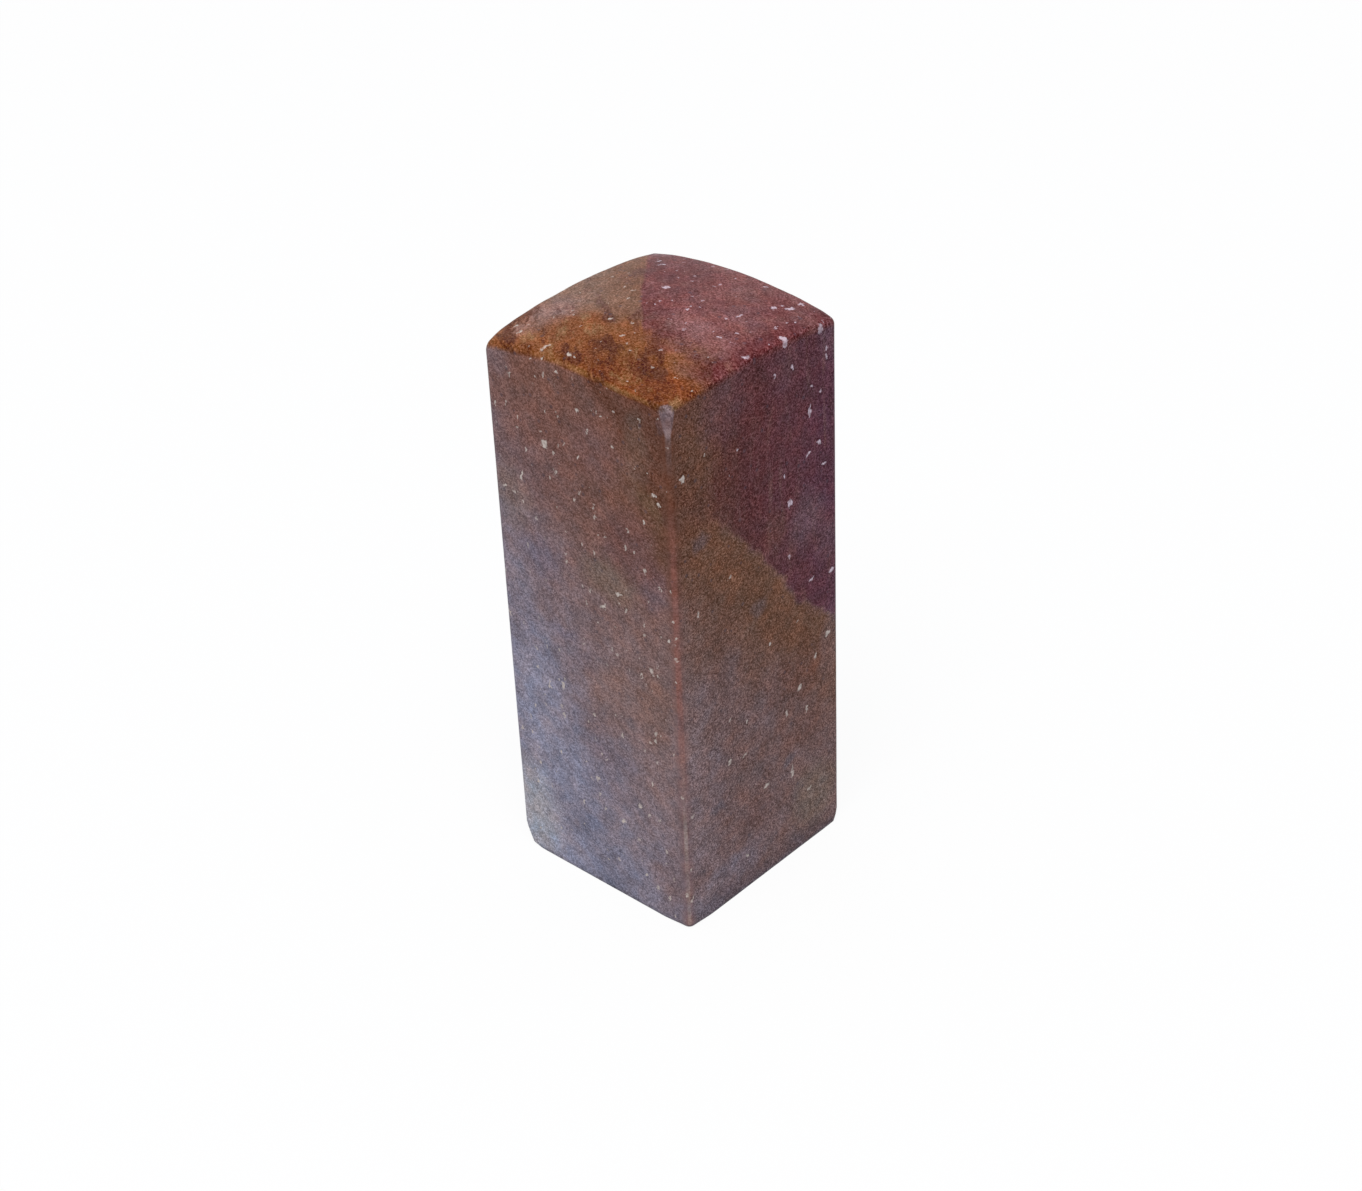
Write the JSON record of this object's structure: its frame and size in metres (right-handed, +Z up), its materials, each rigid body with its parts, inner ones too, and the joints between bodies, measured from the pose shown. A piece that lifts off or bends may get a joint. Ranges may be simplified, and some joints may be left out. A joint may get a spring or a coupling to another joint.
{
  "type": "seal stamp",
  "caption": "Square stone seal stamp with a crowned head, flat sides and a fret carved in relief on its printing face.",
  "frame": {"origin": "middle of the foot, on the surface that the seal stands on or prints on", "axes": "+Z up the column towards the crowned head; +X and +Y square to the two pairs of flat sides"},
  "size_m": [0.0248, 0.0252, 0.0653],
  "materials": {
    "seal_stone": "soft carving stone, red-brown with plum, ochre and grey clouds and pale flecks, ground flat and waxed to a satin"
  },
  "bodies": {
    "root": {"seal_stone": "seal_stone"}
  },
  "joints": []
}
